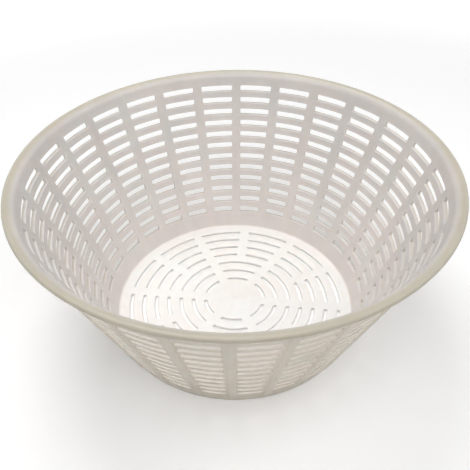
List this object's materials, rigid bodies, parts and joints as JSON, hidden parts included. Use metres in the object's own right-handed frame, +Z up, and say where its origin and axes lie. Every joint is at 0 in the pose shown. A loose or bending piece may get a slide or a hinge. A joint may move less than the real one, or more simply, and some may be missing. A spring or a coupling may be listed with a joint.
{
  "type": "salad spinner basket",
  "caption": "Draining basket of a salad spinner: a cone of translucent white plastic that opens upward, with a rolled rim, a slotted wall and a slotted flat floor.",
  "frame": {"origin": "on the basket's axis, in the plane that it stands on", "axes": "+Z up along the basket's axis, through its open mouth; a web of the wall lies on +Y and another on -Y"},
  "size_m": [0.25, 0.25, 0.109],
  "materials": {
    "natural_polypropylene": "satin, undyed and slightly translucent"
  },
  "bodies": {
    "root": {"rim": "natural_polypropylene", "side_wall": "natural_polypropylene", "floor_grid": "natural_polypropylene", "foot_ring": "natural_polypropylene", "pivot_boss": "natural_polypropylene"}
  },
  "joints": []
}
